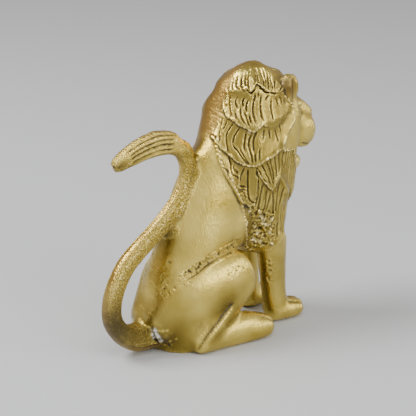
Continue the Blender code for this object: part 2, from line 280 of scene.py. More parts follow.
def off_body(spots):
    """How far each spot is from the hem, above 0 on the mane's side of it."""
    return inside(smooth_run(HEM), spots[:, SIDE_VIEW])


def off_face(spots):
    """How far each spot is from the face's frame, above 0 on the mane's side of it."""
    outline = [(turn * DEGREE, up) for turn, up in smooth_run(FRAME)]
    return inside(outline, np.stack([turns_of(spots) * DEGREE, spots[:, UP]], axis=1))


def mane_share(spots, blur=0.3):
    """1 on the mane and 0 on the body and face."""
    return ramp(off_body(spots), -blur, blur) * ramp(off_face(spots), -blur, blur)


spots = spots_of(skin)
pulled(skin, 9, mane_share(spots, NEAR_MANE))
forward, right, up = folded(spots).T
pulled(skin, 25, ramp(right, 13, 8) * ramp(forward, 40, 30) * ramp(up, 68, 74))
spots = spots_of(skin)
forward, right, up = folded(spots).T
head = (forward > 50) & (up > 54)
tuft = (forward < 21) & (up > 66)
root = (forward < 21) & (up < 16) & (right < 11)
low, climb, reach = HAUNCH_FOLD
haunch = (forward < 40) & (right > 8) & (np.abs(up - low - climb * forward) < reach)
refined(skin, (mane_share(spots, NEAR_MANE) > 0) | head | tuft | root | haunch)
pulled(skin, 2, np.ones(len(skin.verts)), BACK)
print("with the finer mane and head:", sum(len(face.verts) - 2 for face in skin.faces), "triangles")

# %% [markdown]
# ## The locks of the mane
#
# The hair lies in layers, like tiles on a roof. Each layer swells towards its lower edge, ends in a
# lip that catches the light, and the next layer starts lower, in its shade. One formula makes that
# from the layers' lower edges. The back of the hem is a beaded lip too, where the graver turned each
# hair in, and so is the frame of the face below the ear.

# %% The layers and their lips
LAYERS = (
    # the turns between which it stands out, then its lower edge as (turn, up)
    ((100, 138), (
        (180, 91), (162, 91.6), (140, 92.4), (136, 92.8), (130, 91.6), (118, 94.2), (110, 93.2), (102, 91.7),
        (80, 90.5), (62, 92), (50, 94), (0, 98),
    )),
    ((114, 168), (
        (180, 87), (166, 84.9), (161, 83.1), (151, 82.3), (143, 80.7), (135, 80), (127, 78.4), (118, 80),
        (114, 80.9), (107, 80), (100, 79.3), (89, 79.6), (82, 80.5), (73, 81.7), (66, 84), (54, 88), (0, 97),
    )),
    ((93, 168), (
        (180, 77), (167, 74.8), (162, 73.4), (152, 70.6), (144, 68), (137, 66.8), (127, 66), (121, 66.3),
        (115, 67.3), (109, 68.3), (99, 68.9), (93, 70.2), (83, 70.5), (73, 71.2), (64, 72.4), (50, 82),
        (0, 96),
    )),
    ((96, 152), (
        (180, 75), (168, 69), (150, 60), (140, 53.5), (131, 50.5), (122, 50.5), (119.5, 63), (112, 59.9),
        (104, 57.1), (97, 55.4), (95, 57), (88, 60.4), (80, 58.4), (68, 53), (60, 48), (50, 53), (40, 47),
        (26, 52), (12, 44), (0, 49),
    )),
)
MANE_TOP = 101.0
LAYER_STEP = 0.75  # how far a layer of locks stands off the next at its lower edge
FLAT = 0.25  # what is left of a layer where it doesn't stand out, as a share
FADE = 10  # the degrees in which it comes to stand out
LAYER_END = 0.2  # how far below its edge a layer ends
LIP = (0.42, 0.4)  # height and half width of the lip along a lower edge
LIP_UP = 0.45  # how far above an edge its lip is
LOCKS_LEFT = 40  # how far from the middle of the neck the locks start on the left, in degrees
STROKES_LEFT = 26  # the same for the strokes


def net_width(bm):
    """The mean length of the edges at every corner."""
    corners, ends, meeting = net_of(bm)
    lengths = np.linalg.norm(corners[ends[:, 0]] - corners[ends[:, 1]], axis=1) / PART
    return np.bincount(ends.ravel(), np.repeat(lengths, 2), minlength=len(corners)) / meeting


def press(bm, depths):
    """Presses every corner of the skin in by its own depth. A depth below 0 raises it."""
    bm.normal_update()
    for corner, depth in zip(bm.verts, depths):
        corner.co -= corner.normal * (depth * PART)


def neck_strip(spots, left_from=LOCKS_LEFT):
    """0 on the smooth strip down the back of the neck, which is wider on the left, and 1 beside it."""
    beside = 180 - turns_of(spots)
    right = ramp(beside, 0, 8) * ramp(spots[:, RIGHT], 0.6, 3)
    start = left_from + 26 * ramp(spots[:, UP], 88, 93)
    return np.where(spots[:, RIGHT] > 0, right, ramp(beside, start, start + 14))


def off_crest(spots):
    """0 along the top of the head, where the hair lies smooth, and 1 lower down."""
    beside = ramp(np.abs(spots[:, RIGHT]), 2.5, 5) * ramp(turns_of(spots), 60, 90)
    return np.maximum(ramp(spots[:, UP], 97.5, 95.5), beside)


def hem_wave(spots):
    """The beads along the hem, as a wave."""
    along = nearest(smooth_run(HEM), spots[:, SIDE_VIEW])[1]
    return np.sin(along * 4.2 + 1.6 * np.sin(along * 0.9))


def frame_wave(spots):
    """The beads down the face's frame, as a wave."""
    return np.sin(spots[:, UP] * 3.1 + turns_of(spots) * 0.7)


def layer_rise(spots):
    """How far the layers of locks stand up at every spot, and how much of that is the beaded lip."""
    turns = turns_of(spots)
    up = spots[:, UP]
    wander = 0.12 * np.sin(turns * 0.9) + 0.05 * np.sin(turns * 2.3 + 1)
    crinkle = 0.6 + 0.45 * np.sin(turns * 1.5 + 2 * np.sin(turns * 0.31))
    upper = np.full(len(spots), MANE_TOP)
    rise = np.zeros(len(spots))
    lips = np.zeros(len(spots))
    for (first, last), edge in LAYERS:
        lower = np.interp(turns, *zip(*sorted(edge))) + wander
        down = np.clip((upper - up) / np.maximum(upper - lower, 1), 0, 1)
        stands = FLAT + (1 - FLAT) * ramp(turns, first - FADE, first) * ramp(turns, last + FADE, last)
        lip = crinkle * bell(up - lower - LIP_UP, LIP[1])
        here = (up < upper) & (up >= lower - LAYER_END)
        swell = stands * (LAYER_STEP * down**2 + LIP[0] * lip)
        rise = np.where(here, swell * ramp(up - lower, -LAYER_END, 0.25), rise)
        lips = np.where(here, stands * np.clip(lip, 0, 1), lips)
        upper = lower
    return rise, lips


print(len(LAYERS), "layers, the lowest edge at", min(up for _, edge in LAYERS for _, up in edge))

# %% [markdown]
# The mane also swells along its hem and round the face, and each of these edges has its own beads.

# %% Raise the hem, the frame and all the layers
def hem_rise(spots):
    """How far the mane stands off the body along its hem."""
    gap = nearest(smooth_run(HEM), spots[:, SIDE_VIEW])[0]
    beads = (0.65 + 0.35 * hem_wave(spots)) * ramp(spots[:, FORWARD], 46, 42)
    swell = 0.3 * np.exp(-off_body(spots) / 1.4)
    return np.maximum(swell + 0.45 * beads * bell(gap - LIP_UP, 0.5), 0)


def frame_rise(spots):
    """How far the mane stands off the face along its frame."""
    gap = off_face(spots)
    beads = 0.6 + 0.4 * frame_wave(spots)
    swell = 0.2 * np.exp(-np.abs(gap - 0.3) / 0.8)
    return swell + 0.4 * beads * bell(gap - LIP_UP, 0.4) * ramp(spots[:, UP], 92, 88)


spots = spots_of(skin)
forward, _, up = spots.T
rises = hem_rise(spots) + frame_rise(spots) + layer_rise(spots)[0]
rises *= neck_strip(spots)
rises += 0.6 * ramp(up, 93, 98) * ramp(forward, 54, 48)  # the crown is higher
rises -= 0.9 * ramp(forward, 50, 55) * ramp(up, 93, 96)  # the hair over the brow lies closer
rises -= 0.7 * ramp(turns_of(spots), 75, 50) * ramp(up, 70, 66)  # the beard lies closer than the sides
rises *= mane_share(spots)
press(skin, -rises)
print("the layers stand up to", round(float(rises.max()), 2), "hundredths proud")

# %% [markdown]
# ## The graver's cuts in the mane
#
# Between two hairs the worker made one stroke with a graver: narrow, deep in the middle, running out
# at both ends, with a little metal pushed up on either side. The strokes of the right side are listed
# as (turn, up), top layer first. The left side gets the same strokes with a slightly shaky hand.

# %% The strokes, layer by layer
TOP_HAIRS = (
    ((179, 96), (179, 93.1), (175, 92.4), (170, 91.5)), ((178, 97), (178, 95.8), (168, 94.3), (159, 92.1)),
    ((164, 98), (161, 94.9), (147, 92.3)), ((153, 98.2), (151, 95.1), (140, 92)),
    ((142, 97.6), (141, 94.9), (134, 92.3)), ((135, 98.3), (136, 95.6), (129, 91.6)),
    ((109, 98.4), (119, 96.4), (121, 94.6)), ((104, 98.2), (113, 95.9), (116, 94.4)),
    ((90, 98.3), (106, 94.2)), ((76, 98.5), (102, 93.8)), ((76, 97), (99, 93)), ((70, 96.6), (93, 92)),
    ((67, 96.4), (87, 91.2)), ((64, 94.8), (79, 91)), ((63, 92.7), (71, 90.8)),
)
SECOND_HAIRS = (
    ((172, 90.4), (171, 88), (166, 86.2)), ((164, 90.3), (163, 88.2), (158, 85.5)),
    ((151, 90.3), (153, 88.3), (148, 85.9)), ((140, 90), (142, 88.4), (140, 86.6)),
    ((133, 89.2), (136, 87.6), (135, 85.1)), ((121, 91.3), (126, 87.1), (125, 83.8), (122, 81.6)),
    ((112, 90.6), (115, 87), (115, 84.3), (113, 82.6)), ((116, 91.6), (117, 90)), ((99, 90.2), (104, 89.3)),
    ((93, 89), (98, 86), (98, 82.2)), ((151, 85.5), (146, 83)), ((144, 87), (142, 84.3), (135, 81.5)),
    ((139, 85.4), (135, 83.6), (130, 80.6)), ((132, 84.5), (128, 81.6)), ((84, 89), (82, 86.4)),
    ((76, 89.4), (74, 86.8)), ((160, 86.6), (154, 83.8)),
)
THIRD_HAIRS = (
    ((174, 79.5), (172, 77), (166, 75.4)), ((167, 82.5), (166, 78.3), (162, 75)),
    ((151, 81.6), (157, 78.1), (156, 75.5), (152, 71.8)), ((143, 80), (148, 77.2), (149, 74.3)),
    ((149, 74.3), (144, 72.3), (137, 69.3), (133, 67.2)), ((135, 78.6), (137, 74.2), (136, 71.8)),
    ((128, 77.8), (131, 74.8), (129, 71.3), (126, 67.4)), ((121, 79), (126, 75.2), (125, 71.5)),
    ((111, 79.2), (113, 75.6)), ((118, 72.6), (119, 68.4)), ((141, 71.1), (134, 68.3), (131, 67)),
    ((85, 80), (84, 77)), ((142, 73), (136, 70.2), (130, 67)), ((104, 79), (103, 75.4)),
    ((124, 71), (123, 67.6)), ((94, 78.6), (91, 74)), ((160, 82), (163, 78.5)),
)
LOW_HAIRS = (
    ((156, 68), (150, 63.8), (145, 60.6)), ((153, 70.4), (148, 65.6), (143, 61.4)), ((147, 67), (144, 63)),
    ((162, 69.5), (157, 65), (151, 61)), ((144, 60.1), (134, 57.9)), ((143, 58.6), (134, 56.6)),
    ((141, 57.4), (134, 55.5)), ((139, 56.2), (134, 54.3)), ((136, 65.6), (139, 62.5), (139, 60.6)),
    ((132, 65), (132, 58), (131, 54), (124, 51.4)), ((121.5, 65), (118, 57.3), (121, 53)),
    ((121, 65.7), (115, 62.2), (108, 59.4)), ((115, 66.5), (108, 62.4), (101, 58)),
    ((108, 67.3), (102, 63.4), (97, 58)), ((102, 68), (97, 62.5), (96, 59)),
    ((95, 69.3), (92, 64), (93, 60.6)),
    ((88, 69.6), (86, 65), (88, 62)), ((80, 70), (80.6, 67), (79, 63.5)), ((75, 70.4), (74, 66), (75, 60)),
    ((70, 70.6), (68.5, 66.5), (70, 58)), ((65, 70.8), (62.5, 66.5), (64, 56)),
    ((60, 69.6), (57, 64), (59, 54)),
    ((56, 67), (53, 61), (54, 53)), ((50, 62), (47, 57), (48, 51)),
)
HANGING_HAIRS = (
    ((112, 58.6), (116, 49), (120, 44.5)), ((105, 56), (105, 48.5), (111, 44.6)),
    ((98, 54.2), (101, 49), (104, 44)),
    ((94, 54.8), (91, 50.5), (87, 45)), ((119, 60), (117, 55), (122, 50)), ((84, 58.2), (85, 52), (83, 45.6)),
    ((76, 55.6), (77, 50), (77, 42)), ((77, 42), (78, 38), (79, 35.6)), ((68, 51.5), (70, 45), (69, 37)),
    ((62, 46.5), (65, 42), (66, 35.4)), ((55, 51.6), (58, 45), (59, 36)), ((48, 49.8), (51, 43), (52, 35)),
    ((40, 45.5), (43, 40), (44, 34.6)), ((33, 48.4), (35, 42), (36, 35)), ((26, 50.4), (27, 43), (28, 34)),
    ((18, 46.4), (19, 40), (20, 34)), ((10, 43.4), (10, 38), (11, 33.6)), ((3, 47), (3.5, 40), (4, 34)),
)
CHEST_HAIRS = (
    ((44, 61), (41, 55), (41, 49)), ((37, 58.4), (35, 54), (34, 50)), ((30, 57), (29, 54), (27, 52.4)),
    ((22, 54.6), (22, 51), (20, 49)), ((14, 53.2), (14, 49.5), (13, 45.6)), ((6, 52.6), (6, 50), (5, 47.6)),
)
FORELOCK = (
    ((52, 100), (46, 98.6), (42, 97.4)), ((40, 99.6), (36, 98), (33, 96.8)),
    ((27, 99.4), (25, 97.6), (23, 96)),
    ((14, 99.4), (13, 97.4), (12, 95.6)), ((3, 99.2), (3, 97), (3, 95.2)),
)
DARK_LINE = (((136, 93), (130, 91.6), (124, 92.6), (118, 94.3), (110, 93.3), (102, 91.8), (80, 90.6)),)
STROKES = (
    # strokes, half width, depth
    (TOP_HAIRS, 0.3, 0.7), (SECOND_HAIRS, 0.3, 0.7), (THIRD_HAIRS, 0.28, 0.6), (LOW_HAIRS, 0.3, 0.6),
    (HANGING_HAIRS, 0.36, 0.5), (CHEST_HAIRS, 0.36, 0.5), (FORELOCK, 0.34, 0.7), (DARK_LINE, 0.3, 0.9),
)
print(sum(len(strokes) for strokes, _, _ in STROKES), "strokes on each side")

# %% [markdown]
# A stroke is given on the map of the mane, so it is first laid on the skin. A ray goes out from the
# mane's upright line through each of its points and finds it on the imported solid, and the nearest
# point of the new skin is where the graver goes in. The net is made finer along the strokes only.

# %% Lay the strokes on the skin and cut them
BURR = (0.14, 1.8, 0.25)  # a burr's height, as a share, its distance, in stroke widths, and its half width
RUN_OUT = (1.3, 4)  # a cut's ends run out in this length, or in less where the cut is shorter than this
SHAKE = (1.2, 0.4)  # how far a stroke of the left side may be off, in degrees and in height

solid = merged_copy(casting)
solid_tree = BVHTree.FromBMesh(solid)
solid.free()


def in_places(point):
    """A point of the scene as forward, right, up."""
    return (RUMP_Y - point.y) / PART, -point.x / PART, point.z / PART


def on_mane(tree, turn, up, side):
    """The point of the skin at this turn and height on one side, or None where there is none."""
    angle = math.radians(turn)
    outward = Vector((-side * math.sin(angle), -math.cos(angle), 0))
    hit = solid_tree.ray_cast(place(MANE_LINE, 0, up), outward)[0]
    return None if hit is None else in_places(tree.find_nearest(hit)[0])


def laid(tree, stroke, side, shake):
    """A stroke of the map as points on the skin."""
    turned, raised = [most * shake.uniform(-1, 1) * (side < 0) for most in SHAKE]
    hits = [on_mane(tree, turn + turned, up + raised, side) for turn, up in smooth_run(stroke, 3)]
    return [hit for hit in hits if hit]


def near_path(path, spots, reach):
    """Which spots lie in the path's box with this much to spare."""
    low = np.min(path, axis=0) - reach
    high = np.max(path, axis=0) + reach
    return np.all((spots > low) & (spots < high), axis=1)


def cut(path, spots, width, depth):
    """How deep a graver that follows the path goes at every spot, and its burrs."""
    near = near_path(path, spots, 5 * width)
    depths = np.zeros(len(spots))
    gap, along, length = nearest(path, spots[near])
    groove = depth * bell(gap, width)
    burr = BURR[0] * depth * bell(gap - BURR[1] * width, BURR[2])
    ends = ramp(np.minimum(along, length - along), -0.15, RUN_OUT[0] * min(1, length / RUN_OUT[1]))
    depths[near] = (groove - burr) * (0.25 + 0.75 * ends)
    return depths


spots = spots_of(skin)
tree = BVHTree.FromBMesh(skin)
shake = random.Random(7)
laid_strokes = []
close = np.zeros(len(spots), bool)
for strokes, width, depth in STROKES:
    for stroke in strokes:
        for side in (1, -1):
            path = laid(tree, stroke, side, shake)
            if len(path) > 1:
                laid_strokes.append((path, width, depth * shake.uniform(0.8, 1.1)))
                near = np.flatnonzero(near_path(path, spots, 1))
                close[near[nearest(path, spots[near])[0] < 0.75]] = True
refined(skin, close)
spots = spots_of(skin)
depths = np.zeros(len(spots))
for path, width, depth in laid_strokes:
    one = cut(path, spots, width, depth)
    depths = np.where(one > 0, np.maximum(depths, one), np.where(depths > 0, depths, np.minimum(depths, one)))
press(skin, depths * mane_share(spots, 0.5) * neck_strip(spots, STROKES_LEFT) * off_crest(spots))
print("the deepest cut is", round(float(depths.max()), 2), "hundredths, on", len(skin.verts), "corners")

# %% [markdown]
# ## Eased and drawn-out forms
#
# The solid's ears, the back of its rump, its brow and its cheeks are still a little faceted, so they
# are eased and the ears drawn in. The tip of the tuft is drawn out, and its upper side made fuller.

# %% Ease the ears, draw out the tuft
EAR_ROOT = (53.5, 10.5, 85.5)  # the ears are drawn in towards this place
EAR_DRAWN = 0.05  # by this share of the way
TUFT_TIP = (2.7, 0.9)  # how far the tuft's tip is drawn out, back and down
TUFT_TOP = 1.3  # how far the tuft's upper side is raised


def dent(middle, spots, radius, depth):
    """How deep a round dent is at every spot."""
    gap = np.linalg.norm(spots - np.array(middle), axis=1)
    return depth * bell(gap, radius)


spots = folded(spots_of(skin))
forward, right, up = spots.T
ear = ramp(-off_face(spots), -0.3, 0.8) * ramp(turns_of(spots), 43, 47) * ramp(up, 84.5, 87)
pulled(skin, 6, ear)
pulled(skin, 20, dent((0, 0, 19), spots, 7, 1))
pulled(skin, 10, dent((63.5, 9, 84.5), spots, 3, 1) + dent((66.5, 7.2, 79.8), spots, 2, 1))
drawn = EAR_DRAWN * ramp(turns_of(spots), 76, 68) * ramp(up, 84, 89)
drawn = drawn * ramp(forward, 51, 53) * ramp(right, 6, 9)
tuft = ramp(up, 68, 71) * ramp(forward, 16, 12)
out = Vector((0, TUFT_TIP[0], -TUFT_TIP[1]))
for corner, share in zip(skin.verts, tuft * np.clip((5 - forward) / 14.4, 0, 1)):
    corner.co += out * (share * PART)
skin.normal_update()
upper_side = np.array([max(corner.normal.z, 0) for corner in skin.verts])
press(skin, -TUFT_TOP * tuft * ramp(upper_side, 0, 0.8))
for corner, share in zip(skin.verts, drawn):
    root = place(*EAR_ROOT)
    root.x = math.copysign(root.x, corner.co.x)
    corner.co += (root - corner.co) * share
print("drawn out:", int((tuft > 0).sum()), "corners")

# %% [markdown]
# ## Marks on the head, body and tail
#
# The other marks are few: lines on ears, face, toes, folds and tuft, and round ones, given by a middle
# and a size. A depth below 0 is a raised mark. The left of the nape and the forehead are made fuller,
# and the smooth strip of the neck is eased once more.

# %% Lines and spots on the rest of the lion
LINES = (
    # half width, depth, points as (forward, right, up)
    # the ear: its cup and its back edge
    (0.7, 0.3, ((57.2, 13, 95.5), (57.3, 13.4, 93), (57.4, 13.4, 89), (57, 13, 85.4))),
    (0.4, 0.35, ((52.6, 10.6, 96), (52, 12, 93.6), (52.6, 12.8, 91), (54, 13, 88), (56.4, 13, 85))),
    # the crest of the head
    (0.5, -0.3, ((39, 0.8, 95.8), (43.9, 0.6, 98.2), (48.6, 0.5, 99.5), (51.8, 1.2, 99.1))),
    # a line along the tail where it lies against the back
    (0.5, 0.16, (
        (19.4, 3, 67.5), (17.8, 3.3, 62.3), (15.9, 4, 57.3), (14.3, 4.9, 53), (12.3, 5.1, 48.2),
        (10.8, 4.8, 44.7),
    )),
    # nostril, lips and the split of the upper lip
    (0.5, 0.7, ((75.2, 3.1, 77.4), (76.2, 2.2, 76.2))),
    (0.45, 0.7, ((67, 7.2, 66.6), (70, 7, 65.6), (73, 6, 65.8), (75.6, 4.2, 66.8), (76.8, 1.4, 68.6))),
    (0.5, 0.6, ((77.2, 0, 74.8), (77.2, 0, 71))),
    # the eyelids
    (0.4, 0.5, ((67.9, 5.8, 81.9), (68.6, 4.6, 81.8), (68.9, 3.6, 80.6))),
    (0.4, 0.5, ((67.9, 5.8, 78.8), (68.6, 4.8, 78.6), (69.2, 3.6, 79.6))),
    # the toes of the hind foot, then of the forepaw
    (0.5, 0.6, ((38.4, 18.4, 9.2), (42, 18.6, 6.6), (44.6, 18.4, 2))),
    (0.5, 0.6, ((36.5, 15.9, 9.8), (42, 15.9, 7.4), (45.4, 15.9, 2))),
    (0.5, 0.6, ((36.5, 13.4, 9.4), (42, 13.4, 7), (45, 13.4, 2))),
    (0.5, 0.6, ((58.5, 6.2, 8), (64, 6.2, 6), (66.6, 6.2, 2))),
    (0.5, 0.6, ((58.5, 8.7, 8.3), (64, 8.7, 6.4), (67, 8.7, 2))),
    (0.5, 0.6, ((57.6, 11.6, 7.6), (62, 11.6, 6), (65.6, 11.2, 2))),
    # the fold at the shin and the two over the haunch
    (0.55, 0.5, (
        (25.6, 18.2, 18.2), (22.2, 17.6, 14.9), (17.8, 17.3, 10.9), (13.5, 17, 6.9), (11, 15.8, 2.3),
    )),
    (0.5, 0.32, (
        (28.2, 12.6, 34.8), (21.6, 13.4, 34.4), (16.5, 13, 32.8), (12.3, 12.6, 30.7), (8.8, 11.4, 28.5),
    )),
    (0.35, 0.28, (
        (34.4, 11.2, 37.9), (27.1, 12.8, 38.3), (21.1, 12.9, 37.4), (16.9, 11.4, 35.3), (12.9, 10.1, 32.8),
        (9.4, 9.4, 30.4),
    )),
    # the edge of the braze at the root of the tail
    (0.5, 0.6, ((1.5, 4.6, 11.8), (-0.4, 5.4, 9.6), (-0.6, 5.6, 6.8), (0.8, 5.9, 4.6), (3, 6.2, 3.8))),
)
DOTS = (
    # radius, depth, (forward, right, up)
    # a pit on the back, then two raised places on the chin
    (0.6, 0.5, (3.8, 6.4, 35.5)), (2.6, -0.9, (69.6, 0, 59.4)), (2.4, -0.6, (67.8, 2.9, 59.7)),
    # the hollows round the eyes and on the bridge of the nose
    (3, 0.7, (68.5, 3.6, 82.8)), (3, 0.6, (66, 6.5, 84)), (3.4, 0.8, (70, 0, 82.8)),
    (3, 0.7, (73.6, 0, 80.2)),
    # the raised root of the tuft
    (4, -1.1, (18.4, 0, 74)),
)
FULLER = (
    # middle, radius, height: on the left of the nape, where one place is lowered, and the forehead
    ((33, -8, 81), 8, 1.3), ((34.5, -7.5, 87.5), 4.5, 0.9), ((26.5, -4.6, 72), 3.5, -0.7),
    ((57.5, 0, 96), 4, 1.3),
)
TUFT = (
    # forward, up, half thickness
    (18.4, 67.4, 3.2), (17, 71.6, 3.2), (13.6, 74.9, 3.7), (8.5, 76.6, 4.3), (2.5, 76.8, 4.3),
    (-4.7, 75, 3.7), (-9, 73.1, 2.7),
)
TUFT_REACH = (-7, 11.5)  # the hairs of the tuft are cut between these places
TUFT_CUTS = ((62, 0.5, 0.75), (34, 0.4, 0.75), (6, 0.4, 0.65), (-26, 0.5, 0.75))  # lift, half width, depth


def ground_to_skin(tree, path):
    """The nearest points of the skin to the points of a path on the right side."""
    hits = [tree.find_nearest(place(*point))[0] for point in path]
    return [((RUMP_Y - hit.y) / PART, abs(hit.x) / PART, hit.z / PART) for hit in hits]


def along_tuft(lift):
    """A line along the tuft, at so many degrees up from level round its middle."""
    run = np.array(smooth_run(TUFT))
    run = run[(run[:, 0] < TUFT_REACH[1]) & (run[:, 0] > TUFT_REACH[0])]
    along = np.gradient(run[:, :2], axis=0)
    along /= np.linalg.norm(along, axis=1)[:, None]
    angle = math.radians(lift)
    out = run[:, 2] * math.cos(angle)
    rise = run[:, 2] * math.sin(angle)
    return np.stack([run[:, 0] + along[:, 1] * rise, out, run[:, 1] - along[:, 0] * rise], axis=1)


spots = folded(spots_of(skin))
tree = BVHTree.FromBMesh(skin)
marks = np.zeros(len(spots))
for width, depth, line in LINES:
    marks += cut(ground_to_skin(tree, smooth_run(line, 3)), spots, width, depth)
for lift, width, depth in TUFT_CUTS:
    marks += cut(ground_to_skin(tree, along_tuft(lift)), spots, width, depth)
for radius, depth, middle in DOTS:
    marks += dent(ground_to_skin(tree, [middle])[0], spots, radius, depth)
fuller = np.zeros(len(spots))
for middle, radius, height in FULLER:
    fuller += dent(middle, spots_of(skin), radius, height)
press(skin, marks - fuller)
spots = spots_of(skin)
forward, right, up = spots.T
smooth_back = (1 - neck_strip(spots, STROKES_LEFT)) * ramp(-right, -2, 0)
smooth_back = smooth_back * mane_share(spots, 3) * ramp(up, 74, 80)
pulled(skin, 25, smooth_back * ramp(forward, 44, 38))
pulled(skin, 4, dent((68.5, 0, 60), spots, 4.5, 1))
print(len(LINES) + len(TUFT_CUTS), "lines and", len(DOTS), "round marks")

# %% [markdown]
# ## Pits and grains of the casting
#
# Where the sand of the mould crumbled, the metal has pits and beads: low on the mane, in the fold over
# the haunch, on rump, knee and foreleg, and at the root of the tail, where there is grey braze too.
# The worker left them, and a few beads get a painted glint.

# %% Scatter pits and beads
PITTED = ((134, 50.5), (85, 46.5), (84, 32.8), (124, 31.8))  # the corners of the pitted part of the mane
MANE_PITS = 300  # on each side
MANE_RADII = (0.24, 0.38)
MANE_DEPTHS = (0.35, 0.5, 0.4, -0.35, -0.45)
GLINTING = 0.22  # how many of the highest get a painted glint, as a share
# raised beads that get a painted glint
BRIGHT_BEADS = (
    (131, 78.9), (126, 79.2), (146, 62), (142, 59.2), (132, 44.7), (123, 35.4), (108, 44.2), (100, 41.7),
    (105, 36.4), (130, 48.3), (90, 43.5), (112, 47),
)
BEAD = (0.45, -0.5)  # radius and depth
BLACK_PIT = (109, 40)
BLACK_SIZE = (0.7, 1.8)  # radius and depth


def in_patch(corners, across, down):
    """A (turn, up) inside a patch with four corners."""
    top = [a + (b - a) * across for a, b in zip(corners[0], corners[1])]
    bottom = [a + (b - a) * across for a, b in zip(corners[3], corners[2])]
    return [a + (b - a) * down for a, b in zip(top, bottom)]


FOLD = (
    (32, 11.8, 36.6), (27.1, 13, 36.6), (21.3, 13.2, 35.9), (16.7, 12.4, 34.2), (12.6, 11.4, 31.9),
    (9.1, 10.2, 29.4),
)
RUMP_PATCH = ((0.4, 3, 32), (1.4, 6, 31.4), (2.6, 8.6, 29), (2, 9, 25), (0.6, 6.5, 24.6))
KNEE = ((23.5, 17.4, 29), (26.2, 17.4, 30.3), (28.8, 17.7, 30.5), (31, 17.8, 30.7))
LEG = ((47.4, 11, 27.4), (48.8, 11.6, 24.5), (48.6, 11, 20.5), (49, 10.6, 17))
ROOT = ((3, 6.4, 12), (0.5, 6.4, 9.6), (-1, 5.8, 6.6), (1.5, 6.4, 4.2), (5, 7.6, 4.4), (5.5, 8, 8.6))


def scattered(line, count, spread):
    """So many places strewn about a line on the right side."""
    run = smooth_run(line)
    for _ in range(count):
        point = run[scatter.randrange(len(run))]
        yield [value + scatter.uniform(-spread, spread) for value in point]


PATCHES = (
    # line, pits and beads, spread, their depths, their largest radius
    (FOLD, 110, 1.1, (0.16, 0.22, -0.12), 0.45),
    (RUMP_PATCH, 110, 2.2, (0.12, 0.18, -0.12), 0.48),
    (LEG, 80, 1.5, (0.12, 0.17, -0.1), 0.45),
    (KNEE, 40, 1.3, (0.12, 0.2, 0.15, -0.1), 0.45),
    (ROOT, 34, 1.5, (0.2, -0.28, -0.25, 0.25), 0.8),
)
SOLDER = ((-1.8, 6.6, 10.4), (-0.8, 6.6, 8.4), (-0.2, 6.6, 7), (0.8, 6.6, 4.6))  # where the braze is
DROPS = (26, 0.9, 0.5, -0.3)  # how many drops of it, their spread, radius and depth
for _ in range(2):
    spots = folded(spots_of(skin))
    close = np.zeros(len(spots), bool)
    for line, _, spread, _, _ in PATCHES:
        close |= nearest(smooth_run(line), spots)[0] < spread + 1
    refined(skin, close & (net_width(skin) > 0.4))
skin_tree = BVHTree.FromBMesh(skin)
scatter = random.Random(11)
pits = []
for side in (1, -1):
    for _ in range(MANE_PITS):
        hit = on_mane(skin_tree, *in_patch(PITTED, scatter.random(), scatter.random()), side)
        pits.append((hit, scatter.uniform(*MANE_RADII), scatter.choice(MANE_DEPTHS)))
    pits.append((on_mane(skin_tree, *BLACK_PIT, side), *BLACK_SIZE))
black_pits = [middle for middle, _, depth in pits if depth == BLACK_SIZE[1]]
highest = [middle for middle, _, depth in pits if depth == MANE_DEPTHS[-1]]
# some of the highest pits get a painted glint too
glinting = [middle for middle in highest if scatter.random() < GLINTING]
beads = [on_mane(skin_tree, turn, up, side) for turn, up in BRIGHT_BEADS for side in (1, -1)]
pits += [(bead, *BEAD) for bead in beads]
beads += glinting
for line, count, spread, depths, largest in PATCHES:
    for point in scattered(line, count, spread):
        forward, right, up = ground_to_skin(skin_tree, [point])[0]
        for side in (1, -1):
            radius = largest * scatter.uniform(0.6, 1)
            pits.append(((forward, side * right, up), radius, scatter.choice(depths)))
drops, spread, radius, depth = DROPS
solder_spots = [ground_to_skin(skin_tree, [point])[0] for point in scattered(SOLDER, drops, spread)]
for forward, right, up in solder_spots:
    pits += [((forward, side * right, up), radius, depth) for side in (1, -1)]
spots = spots_of(skin)
dents = np.zeros(len(spots))
for middle, radius, depth in pits:
    near = np.flatnonzero(near_path([middle], spots, 3 * radius))
    dents[near] += dent(middle, spots[near], radius, depth)
press(skin, dents)
print(len(pits), "pits and beads on", int((np.abs(dents) > 0.1).sum()), "corners")

# %% [markdown]
# ## What the finish needs to know
#
# Brass darkens in its hollows, where polish and fingers don't reach, and shines on its ridges. So the
# script thins the skin, then measures how far every corner stands above its neighbours or below.

# %% Thin the skin and measure its hollows and ridges
TRIANGLES = 192000  # of the finished skin
FINE = 0.3  # the width of the net at which a pass of easing does its full work


def proud(bm, passes):
    """How far each corner stands proud of the skin near it. Where the net is coarse, a pass does less."""
    bm.normal_update()
    corners, ends, meeting = net_of(bm)
    outward = np.array([tuple(corner.normal) for corner in bm.verts])
    step = EASED * np.minimum(1, (FINE / np.maximum(net_width(bm), 0.01)) ** 2)[:, None]
    level = corners.copy()
    for _ in range(passes):
        level += step * (mean_neighbour(level, ends, meeting) - level)
    return np.einsum("ij,ij->i", corners - level, outward) / PART


def thinned(bm, count):
    """The same skin in so many triangles. The carving keeps the most of them, as flat places lose theirs."""
    bmesh.ops.triangulate(bm, faces=bm.faces)
    return changed(bm, "DECIMATE", ratio=min(1, count / len(bm.faces)))


print("before thinning:", sum(len(face.verts) - 2 for face in skin.faces), "triangles")
skin = thinned(skin, TRIANGLES)
for corner in skin.verts:
    corner.co.z = max(corner.co.z, 0)
both_sides = spots_of(skin)
spots = folded(both_sides)
forward, right, up = spots.T
level = proud(skin, 28)
print("the skin stands up to", round(float(level.max()), 2), "hundredths proud")
